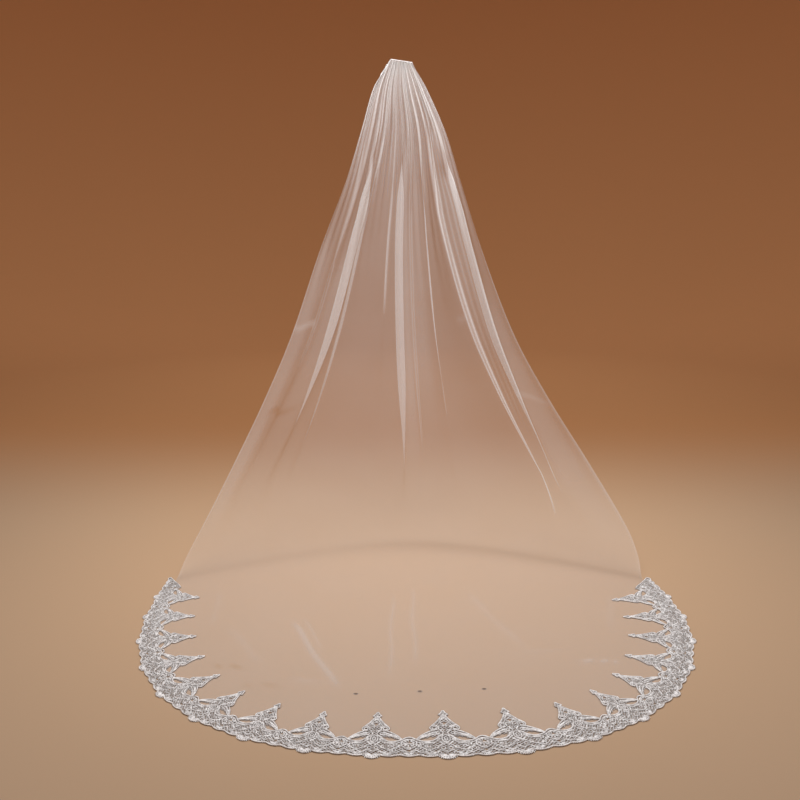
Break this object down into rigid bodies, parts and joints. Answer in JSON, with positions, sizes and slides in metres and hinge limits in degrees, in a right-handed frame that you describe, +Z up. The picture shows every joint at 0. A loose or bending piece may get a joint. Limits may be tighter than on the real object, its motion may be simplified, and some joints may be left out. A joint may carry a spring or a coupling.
{
  "type": "lace bridal veil",
  "caption": "Long sheer bridal veil, gathered onto a comb, falling in folds to a train on the floor edged with wide scalloped lace.",
  "frame": {"origin": "middle of the gathered heading that the comb hangs behind, where the veil is pinned on, 1.526 m above the floor that the train lies on", "axes": "+Z up, -Y along the train away from the comb, +X to the right seen from the hem end of the train"},
  "size_m": [1.4791, 2.0292, 1.5258],
  "materials": {
    "tulle": "sheer soft net, matt",
    "lace": "corded ivory lace, matt",
    "comb": "pale smooth plastic"
  },
  "bodies": {
    "root": {"tulle_veil": "tulle", "lace_edging": "lace", "comb": "comb"}
  },
  "joints": []
}
